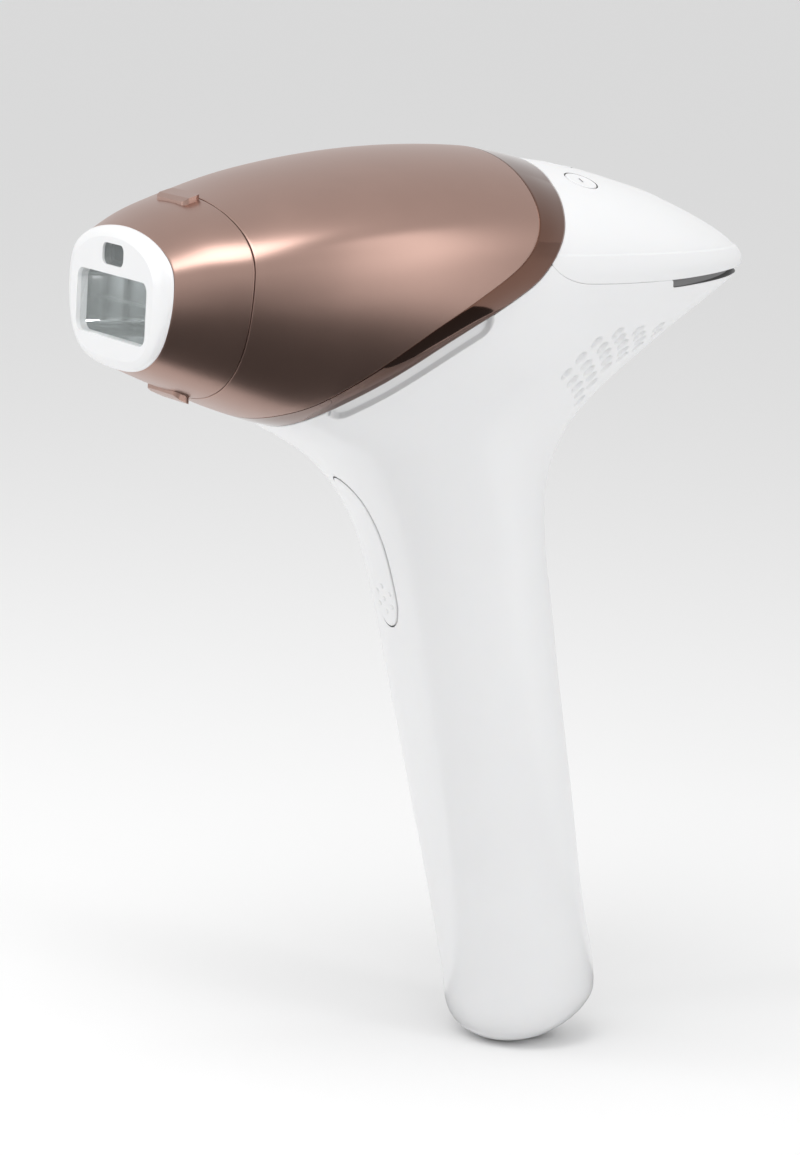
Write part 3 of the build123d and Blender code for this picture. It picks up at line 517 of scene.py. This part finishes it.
def cut_hole(ob, inside, project, wall, direction=None):
    # opens a hole where inside(v) < 0, snaps its edge with project(v), and adds an inward wall
    bm = bmesh.new()
    bm.from_mesh(ob.data)
    bm.verts.ensure_lookup_table()
    co = np.array([v.co for v in bm.verts]) / MM
    sd = inside(co)
    kill = [f for f in bm.faces if all(sd[v.index] < 0 for v in f.verts)]
    ring = set()
    for f in kill:
        for e in f.edges:
            if any(all(sd[v.index] < 0 for v in g.verts) is False for g in e.link_faces):
                ring.add(e)
    verts_ring = {v for e in ring for v in e.verts}
    pts = {v: Vector(project(np.array(v.co) / MM) * MM) for v in verts_ring}
    nrm = {v: v.normal.copy() for v in verts_ring}
    bmesh.ops.delete(bm, geom=kill, context="FACES")
    for v in verts_ring:
        v.co = pts[v]
    edges = [e for e in ring if e.is_valid]
    res = bmesh.ops.extrude_edge_only(bm, edges=edges)
    # the hole's wall takes slot 1, the dark grey of the painted seam shade
    for g in res["geom"]:
        if isinstance(g, bmesh.types.BMFace):
            g.material_index = 1
    for v in [g for g in res["geom"] if isinstance(g, bmesh.types.BMVert)]:
        n = min(verts_ring, key=lambda q: (q.co - v.co).length_squared)
        v.co = v.co - (nrm[n] if direction is None else Vector(direction)) * wall * MM
    bm.to_mesh(ob.data)
    bm.free()
    ob.data.update()


# trigger opening, in front view
def outline(gap):
    pts = [(x, z) for x, z in TRIG] + [(-x, z) for x, z in TRIG[-2:0:-1]]
    out = []
    for i in range(len(pts)):
        p0, p1, p2, p3 = (np.array(pts[(i + k) % len(pts)]) for k in (-1, 0, 1, 2))
        for s in np.linspace(0, 1, 14, endpoint=False):
            out.append(0.5 * ((2 * p1) + (-p0 + p2) * s + (2 * p0 - 5 * p1 + 4 * p2 - p3) * s * s + (-p0 + 3 * p1 - 3 * p2 + p3) * s**3))
    out = np.array(out)
    nx = np.roll(out, -1, 0) - np.roll(out, 1, 0)
    n = np.stack([-nx[:, 1], nx[:, 0]], axis=1)
    n /= np.linalg.norm(n, axis=1, keepdims=True)
    if ((out + n) ** 2).sum() < (out ** 2).sum():
        n = -n
    c = out.mean(axis=0)
    n = np.where(((out - c) * n).sum(axis=1)[:, None] > 0, n, -n)
    return out + n * gap


def poly_sd(co2, poly):
    inside = np.zeros(len(co2), bool)
    d = np.full(len(co2), 1e9)
    for i in range(len(poly)):
        p, q = poly[i], poly[(i + 1) % len(poly)]
        e = q - p
        w = co2 - p
        tt_ = np.clip((w @ e) / (e @ e), 0, 1)
        d = np.minimum(d, np.linalg.norm(w - tt_[:, None] * e, axis=1))
        cond = ((p[1] > co2[:, 1]) != (q[1] > co2[:, 1]))
        with np.errstate(divide="ignore", invalid="ignore"):
            xx = (q[0] - p[0]) * (co2[:, 1] - p[1]) / (q[1] - p[1]) + p[0]
        inside ^= cond & (co2[:, 0] < xx)
    return np.where(inside, -d, d)


def nearest_on(poly, p):
    best, bd = None, 1e9
    for i in range(len(poly)):
        a1, b1 = poly[i], poly[(i + 1) % len(poly)]
        e = b1 - a1
        s = min(1, max(0, ((p - a1) @ e) / (e @ e)))
        q = a1 + s * e
        d = np.linalg.norm(p - q)
        if d < bd:
            best, bd = q, d
    return best


def front_y(x, z):
    # y of the handle's front surface over (x, z)
    x, z = np.atleast_1d(x), np.atleast_1d(z)
    out = np.zeros(len(x))
    jj = np.r_[NF - 200:NF, 0:201]
    for i in range(len(x)):
        k = int(np.clip(np.searchsorted(GZ, z[i]) - 1, 0, len(GZ) - 2))
        s = (z[i] - GZ[k]) / (GZ[k + 1] - GZ[k])
        xs = wx[k, jj] * (1 - s) + wx[k + 1, jj] * s
        ys = wy[k, jj] * (1 - s) + wy[k + 1, jj] * s
        out[i] = np.interp(x[i], xs, ys)
    return out


OPEN = outline(0.28)


def trig_inside(co):
    sd = np.full(len(co), 5.0)
    m = (co[:, 2] > -72) & (co[:, 2] < -34) & (co[:, 1] < 80) & (np.abs(co[:, 0]) < 7)
    sd[m] = poly_sd(co[m][:, [0, 2]], OPEN)
    return sd


def trig_project(p):
    q = nearest_on(OPEN, p[[0, 2]])
    return np.array([q[0], front_y(q[0], q[1])[0], q[1]])


cut_hole(body_skin, trig_inside, trig_project, 1.6, direction=(0, -1, 0))

# charging socket opening in the handle's end
E1 = np.array([1.0, 0, 0])
E2 = np.cross(AXIS, E1)


def sock_inside(co):
    d = co - MOUTH
    m = (np.abs(d @ AXIS) < 4)
    return np.where(m, np.hypot(d @ E1, d @ E2) - 6.05, 5.0)


def sock_project(p):
    d = p - MOUTH
    u, v = d @ E1, d @ E2
    k = 6.05 / math.hypot(u, v)
    return MOUTH + E1 * u * k + E2 * v * k + AXIS * (d @ AXIS)


cut_hole(body_skin, sock_inside, sock_project, 1.5, direction=tuple(AXIS))

# ------------------------------------------------------------------ control cover
JC = [j for j in JB if np.isfinite(lid_z[j])]
cols = []
for j in JC:
    s, e = lid_z[j] + 0.14, min(cover_top_z[j] - 0.02, 32.3)
    e = max(e, s + 0.3)
    z = s + (e - s) * (1 - (1 - np.linspace(0, 1, 260)) ** 1.5)
    x, y = body_at(z, j)
    cols.append(np.stack([x, y, z], axis=1))
P = np.stack(cols, axis=1)
P = with_lips(P, False, start=1, end=1, rnd=0.12)
cover_skin = mesh_object("control_cover_skin", P.reshape(-1, 3), grid_faces(P.shape[0], P.shape[1], False), "body", MATS["white_gloss"])
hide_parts("control_cover")
# painted shade on the cover's seam walls at both ends
paint_seam_shade_rows(cover_skin, P.shape[1] - 1, [0, P.shape[0] - 2], P.shape[0] - 1)

# ------------------------------------------------------------------ polished band
def loop_by_angle(pts, zc0=8.0, n=480):
    pts = np.array(pts)
    ang = np.arctan2(pts[:, 0], pts[:, 2] - zc0)       # 0 at the top, positive towards +X
    o = np.argsort(ang)
    ang, pts = ang[o], pts[o]
    ang = np.concatenate([ang[-3:] - 2 * math.pi, ang, ang[:3] + 2 * math.pi])
    pts = np.concatenate([pts[-3:], pts, pts[:3]])
    g = -math.pi + 2 * math.pi * np.arange(n) / n
    out = np.stack([np.interp(g, ang, pts[:, k]) for k in range(3)], axis=1)
    return np.stack([blur_closed(out[:, k][None], 0.012)[0] for k in range(3)], axis=1)


L1, L2 = [], []
for j in range(NF):
    x, z = barrel_at(rim1_y[j], j)
    L1.append((float(x), rim1_y[j], float(z)))
    e = cover_top_z[j] if np.isfinite(lid_z[j]) else body_top_z[j]
    x, y = body_at(e, j)
    L2.append((float(x), float(y), e))
L1, L2 = loop_by_angle(L1), loop_by_angle(L2)
across = L2 - L1
out_n = np.cross(np.roll(L1, -1, 0) - np.roll(L1, 1, 0), across)
out_n /= np.linalg.norm(out_n, axis=1, keepdims=True)
if out_n[len(out_n) // 2, 2] < 0:
    out_n = -out_n
rowsb = []
unit = across / np.linalg.norm(across, axis=1, keepdims=True)
rad = L1 - np.array([0, 0, 8.0]) * np.array([1, 0, 1])
rad[:, 1] = 0
rad /= np.linalg.norm(rad, axis=1, keepdims=True)
rowsb.append(L1 - rad * 1.6)
rowsb.append(L1 - rad * 0.22 + unit * 0.04)
rowsb.append(L1 - rad * 0.06 + unit * 0.12)
for s in np.linspace(0, 1, 17):
    rowsb.append(L1 + across * (0.02 + 0.965 * s) + out_n * (0.18 * math.sin(math.pi * s)))
rowsb.append(L2 - out_n * 0.06 - unit * 0.10)
rowsb.append(L2 - out_n * 0.25 - unit * 0.08)
rowsb.append(L2 - out_n * 1.4 - unit * 0.1)
P = np.stack(rowsb)
band = mesh_object("polished_band", P.reshape(-1, 3), grid_faces(P.shape[0], P.shape[1], True), "body", MATS["copper_polished"])
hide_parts("trim_ring")

# ------------------------------------------------------------------ trigger pad
pad = outline(-0.02)
c0 = pad.mean(axis=0)
rings = []
levels = [(1.0, -1.3), (1.0, 0.02), (0.985, 0.14), (0.965, 0.22), (0.94, 0.27), (0.88, 0.30)]
for k, off in levels:
    q = c0 + (pad - c0) * np.array([[k if k > 0.9 else k, 1 - (1 - k) * 0.28]])
    rings.append((q, off))
for k in np.linspace(0.78, 0.08, 9):
    q = c0 + (pad - c0) * np.array([[k, 1 - (1 - k) * 0.9 if k > 0.3 else k]])
    rings.append((c0 + (pad - c0) * k if k < 0.6 else q, 0.30))
vs = []
for q, off in rings:
    y = front_y(q[:, 0], q[:, 1])
    vs.append(np.stack([q[:, 0], y - off, q[:, 1]], axis=1))
P = np.stack(vs)
fcs = grid_faces(P.shape[0], P.shape[1], True)
fcs.append(tuple((P.shape[0] - 1) * P.shape[1] + k for k in range(P.shape[1])))
trig = mesh_object("trigger_pad", P.reshape(-1, 3), fcs, "trigger", MATS["white_gloss"])

# grip dots, hexagonal, near the trigger's lower end
dots_v, dots_f = [], []
for ix, iz in ((0, 0), (0, 1), (0, -1), (1, 0.5), (1, -0.5), (-1, 0.5), (-1, -0.5)):
    cx, cz = ix * 2.5, -63.2 + iz * 2.75
    base = len(dots_v)
    cy = front_y(cx, cz)[0] - 0.27
    e = 0.4
    nv = np.array([-(front_y(cx + e, cz)[0] - front_y(cx - e, cz)[0]) / (2 * e), 1, -(front_y(cx, cz + e)[0] - front_y(cx, cz - e)[0]) / (2 * e)])
    nv = -nv / np.linalg.norm(nv)
    u = np.cross(nv, [0, 0, 1.0]); u /= np.linalg.norm(u)
    v = np.cross(nv, u)
    M1, M2 = 20, 6
    for m in range(M2):
        q = math.pi / 2 * m / M2
        for n_ in range(M1):
            w_ = 2 * math.pi * n_ / M1
            dots_v.append(np.array([cx, cy, cz]) + (u * math.cos(w_) + v * math.sin(w_)) * 0.62 * math.cos(q) + nv * (0.34 * math.sin(q) - 0.06))
    top = len(dots_v)
    dots_v.append(np.array([cx, cy, cz]) + nv * 0.28)
    for m in range(M2 - 1):
        for n_ in range(M1):
            k = (n_ + 1) % M1
            dots_f.append((base + m * M1 + n_, base + m * M1 + k, base + (m + 1) * M1 + k, base + (m + 1) * M1 + n_))
    for n_ in range(M1):
        dots_f.append((base + (M2 - 1) * M1 + n_, base + (M2 - 1) * M1 + (n_ + 1) % M1, top))
dots = mesh_object("trigger_dots", dots_v, dots_f, "trigger", MATS["white_gloss"])
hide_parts("trigger_button")

# ------------------------------------------------------------------ keys and their openings
def top_z(x, y):
    # height of the tail's top over (x, y)
    x, y = abs(float(x)), float(y)
    lo_, hi_ = 9.0, 32.3
    for _ in range(34):
        mid = (lo_ + hi_) / 2
        k = int(np.clip(np.searchsorted(GZ, mid) - 1, 0, len(GZ) - 2))
        s = (mid - GZ[k]) / (GZ[k + 1] - GZ[k])
        hj = slice(NF // 4, NF // 2 + NF // 4)
        xs = wx[k] * (1 - s) + wx[k + 1] * s
        ys = wy[k] * (1 - s) + wy[k + 1] * s
        xs, ys = xs[NF // 4:NF // 2 + 1], ys[NF // 4:NF // 2 + 1]       # side to rear, x falls as y grows
        w_ = np.interp(y, ys, xs, left=xs[0], right=0.0)
        if y < ys[-1] and w_ > x:
            lo_ = mid
        else:
            hi_ = mid
    return lo_


def normal_at(x, y, e=0.8):
    gx = (top_z(x + e, y) - top_z(x - e, y)) / (2 * e) if abs(x) > 2 * e else 0.0
    gy = (top_z(x, y + e) - top_z(x, y - e)) / (2 * e)
    n = np.array([-gx, -gy, 1.0])
    return n / np.linalg.norm(n)


for key, kx, ky, kr in KEYS:
    k0 = np.array([kx, ky, top_z(kx, ky)])
    n = normal_at(kx, ky)
    u = np.cross(n, [0, 1.0, 0]); u /= np.linalg.norm(u)
    v = np.cross(n, u)

    def key_inside(co, k0=k0, n=n, u=u, v=v, kr=kr):
        d = co - k0
        return np.where(np.abs(d @ n) < 3, np.hypot(d @ u, d @ v) - kr - 0.28, 5.0)

    def key_project(p, k0=k0, n=n, u=u, v=v, kr=kr):
        d = p - k0
        a1, b1 = d @ u, d @ v
        k = (kr + 0.28) / math.hypot(a1, b1)
        q = k0 + u * a1 * k + v * b1 * k
        return np.array([q[0], q[1], top_z(q[0], q[1])])
    cut_hole(cover_skin, key_inside, key_project, 1.6, direction=tuple(n))
    MA = 72
    kv = []
    prof = [(kr, -1.2), (kr, -0.3), (kr, -0.12), (kr - 0.05, -0.02), (kr - 0.14, 0.05), (kr - 0.3, 0.08), (kr - 0.6, 0.07), (kr * 0.75, 0.02), (kr * 0.5, -0.02), (kr * 0.25, -0.04)]
    for rr, off in prof:
        for m in range(MA):
            a1 = 2 * math.pi * m / MA
            q = k0 + (u * math.cos(a1) + v * math.sin(a1)) * rr
            q = np.array([q[0], q[1], top_z(q[0], q[1])])
            kv.append(q + n * off)
    kv.append(np.array([k0[0], k0[1], k0[2]]) - n * 0.04)
    kf = grid_faces(len(prof), MA, True)
    kf += [((len(prof) - 1) * MA + m, (len(prof) - 1) * MA + (m + 1) % MA, len(prof) * MA) for m in range(MA)]
    cap = mesh_object(key + "_cap", kv, kf, key, MATS["white_gloss"])
    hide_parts(key)
    # painted shade on the key's skirt, in its gap
    paint_seam_shade_rows(cap, MA, [0], len(prof) - 1)
    # a short printed bar in place of any symbol
    bar = []
    hw, hh = (0.9, 0.14)
    for a1, b1 in ((-hw, -hh), (hw, -hh), (hw, hh), (-hw, hh)):
        q = k0 + u * a1 + v * b1
        bar.append(np.array([q[0], q[1], top_z(q[0], q[1])]) + n * 0.03)
    mk = mesh_object(key + "_mark", bar, [(0, 1, 2, 3)], key, MATS["gap_grey"])

# ------------------------------------------------------------------ lamp frame seen through the window
def bars(name, boxes, body, mat):
    v, f = [], []
    for cx, cy, cz, lx, ly, lz in boxes:
        b0 = len(v)
        for dx in (-0.5, 0.5):
            for dy in (-0.5, 0.5):
                for dz in (-0.5, 0.5):
                    v.append((cx + dx * lx, cy + dy * ly, cz + dz * lz))
        f += [tuple(b0 + k for k in q) for q in ((0, 1, 3, 2), (4, 6, 7, 5), (0, 4, 5, 1), (2, 3, 7, 6), (0, 2, 6, 4), (1, 5, 7, 3))]
    return mesh_object(name, v, f, body, mat, smooth=False)


bars("lamp_frame_bars", [(-7.5, 22.9, 0, 2.4, 0.6, 14.5), (3.5, 22.9, 0, 1.8, 0.6, 14.5), (12.5, 22.9, 0, 1.4, 0.6, 14.5)], "body", MATS["dark_plastic"])
bars("lamp_frame_rails", [(0, 22.6, -3.6, 31, 0.4, 0.5), (0, 22.6, 4.9, 31, 0.4, 0.35)], "body", MATS["steel"])

# ------------------------------------------------------------------ floor, lights and camera
lo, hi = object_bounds()
bpy.ops.mesh.primitive_plane_add(size=60, location=(0, 0.07, lo[2]))
floor = bpy.context.object
floor.name = "floor"
fm = bpy.data.materials.new("floor_white")
fm.use_nodes = True
fm.node_tree.nodes["Principled BSDF"].inputs["Base Color"].default_value = (0.9, 0.9, 0.9, 1)
fm.node_tree.nodes["Principled BSDF"].inputs["Roughness"].default_value = 0.85
floor.data.materials.append(fm)

AZ, EL, ROLL, DIST = math.radians(59), math.radians(10.197), math.radians(3.483), 0.850
TGT = Vector((0, 0.07216, -0.058742))
back = Vector((math.sin(AZ) * math.cos(EL), -math.cos(AZ) * math.cos(EL), math.sin(EL)))
right = Vector((math.cos(AZ), math.sin(AZ), 0))
up = right.cross(-back)

world = bpy.data.worlds.new("studio")
world.use_nodes = True
nt = world.node_tree
bg = nt.nodes["Background"]
geo = nt.nodes.new("ShaderNodeTexCoord")
sepw = nt.nodes.new("ShaderNodeSeparateXYZ")
wr = nt.nodes.new("ShaderNodeValToRGB")
mrw = nt.nodes.new("ShaderNodeMapRange")
mrw.inputs["From Min"].default_value = -1
mrw.inputs["From Max"].default_value = 1
nt.links.new(geo.outputs["Generated"], sepw.inputs["Vector"])
nt.links.new(sepw.outputs["Z"], mrw.inputs["Value"])
nt.links.new(mrw.outputs["Result"], wr.inputs["Fac"])
els = wr.color_ramp.elements
els[0].position, els[0].color = 0.0, (0.9, 0.9, 0.9, 1)
els[1].position, els[1].color = 1.0, (0.74, 0.74, 0.74, 1)
e = els.new(0.5); e.color = (0.85, 0.85, 0.85, 1)
e = els.new(0.62); e.color = (0.80, 0.80, 0.80, 1)
nt.links.new(wr.outputs["Color"], bg.inputs["Color"])
bg.inputs["Strength"].default_value = 1.0
bpy.context.scene.world = world


def area(name, loc, target, size, energy, color=(1, 1, 1), size_y=None):
    li = bpy.data.lights.new(name, "AREA")
    li.energy = energy
    li.color = color
    li.size = size
    if size_y:
        li.shape = "RECTANGLE"
        li.size_y = size_y
    ob = bpy.data.objects.new(name, li)
    bpy.context.scene.collection.objects.link(ob)
    ob.location = loc
    d = Vector(target) - Vector(loc)
    ob.rotation_euler = d.to_track_quat("-Z", "Y").to_euler()
    return ob


def card(name, loc, target, wdt, hgt, grey):
    # a matt card, seen only in reflections
    me = bpy.data.meshes.new(name)
    me.from_pydata([(-wdt / 2, -hgt / 2, 0), (wdt / 2, -hgt / 2, 0), (wdt / 2, hgt / 2, 0), (-wdt / 2, hgt / 2, 0)], [], [(0, 1, 2, 3)])
    ob = bpy.data.objects.new(name, me)
    bpy.context.scene.collection.objects.link(ob)
    ob.location = loc
    d = Vector(target) - Vector(loc)
    ob.rotation_euler = d.to_track_quat("-Z", "Y").to_euler()
    m = bpy.data.materials.new(name)
    m.use_nodes = True
    p = m.node_tree.nodes["Principled BSDF"]
    p.inputs["Base Color"].default_value = (grey, grey, grey, 1)
    p.inputs["Roughness"].default_value = 1
    p.inputs["Specular IOR Level"].default_value = 0
    me.materials.append(m)
    ob.visible_camera = False
    ob.visible_shadow = False
    ob.visible_diffuse = False
    return ob


C0 = Vector((0, 0.06, 0.0))


def around(az, el, dist):
    # a place seen from the head at this turn from the camera, in degrees, right positive
    a1, e1 = AZ + math.radians(az), math.radians(el)
    return C0 + Vector((math.sin(a1) * math.cos(e1), -math.cos(a1) * math.cos(e1), math.sin(e1))) * dist


area("key", around(-25, 62, 0.75), C0, 0.5, 3.0)
area("strip", around(55, 18, 0.8), C0, 0.12, 0.9, size_y=0.9)
area("left", around(-95, 12, 0.8), C0, 0.4, 0.9)
low = C0 + Vector((math.sin(AZ + 0.25), -math.cos(AZ + 0.25), 0)) * 0.30
low.z = lo[2] + 0.003
card("dark_low", low, low + Vector((0, 0, 1)), 0.62, 0.62, 0.09)
inner = bpy.data.lights.new("chamber", "POINT")
inner.energy = 0.004
inner.shadow_soft_size = 0.002
inner_ob = bpy.data.objects.new("chamber", inner)
bpy.context.scene.collection.objects.link(inner_ob)
inner_ob.location = (0.006, 0.0165, 0.004)

cam = bpy.data.cameras.new("camera")
cam.sensor_width = 36
cam.sensor_fit = "AUTO"
cam.lens = 36 * 3966.3 / 1155
cam.clip_start = 0.01
cam.clip_end = 200
co = bpy.data.objects.new("camera", cam)
bpy.context.scene.collection.objects.link(co)
R = right * math.cos(ROLL) + up * math.sin(ROLL)
U = -right * math.sin(ROLL) + up * math.cos(ROLL)
M = Matrix(((R.x, U.x, back.x, 0), (R.y, U.y, back.y, 0), (R.z, U.z, back.z, 0), (0, 0, 0, 1)))
M.translation = TGT + back * DIST
co.matrix_world = M
bpy.context.scene.camera = co
bpy.context.scene.view_settings.view_transform = "Standard"
